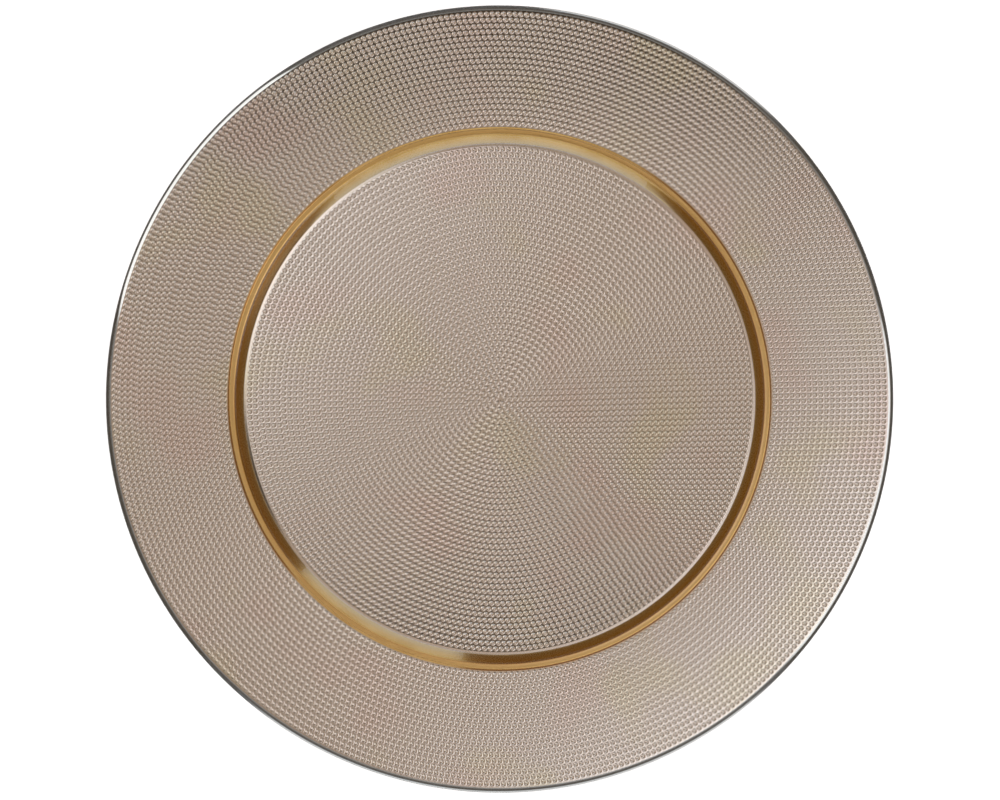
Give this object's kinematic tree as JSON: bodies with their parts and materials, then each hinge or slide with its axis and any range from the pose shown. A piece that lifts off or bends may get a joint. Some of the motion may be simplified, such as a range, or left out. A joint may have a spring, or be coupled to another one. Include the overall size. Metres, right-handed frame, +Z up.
{
  "type": "charger plate",
  "caption": "Round clear glass charger plate: smooth top, metallic coats under the well and rim, a gold coated wall between them, standing on its level back.",
  "frame": {"origin": "on the table under the plate's centre, in the plane of the well's level back", "axes": "+Z up along the plate's axis of revolution; X and Y are any two level directions at right angles"},
  "size_m": [0.33, 0.33, 0.0116],
  "materials": {
    "clear_glass": "clear, fire polished, smooth",
    "champagne_coat": "champagne metallic paint on beaded glass",
    "gold_coat": "glossy amber gold metallic paint on smooth glass",
    "backing_lacquer": "satin sealing lacquer over the metallic coats"
  },
  "bodies": {
    "root": {"glass_plate": "clear_glass", "well_metallic_coat": "champagne_coat", "gold_band_coat": "gold_coat", "rim_metallic_coat": "champagne_coat", "well_backing_lacquer": "backing_lacquer", "rim_backing_lacquer": "backing_lacquer"}
  },
  "joints": []
}
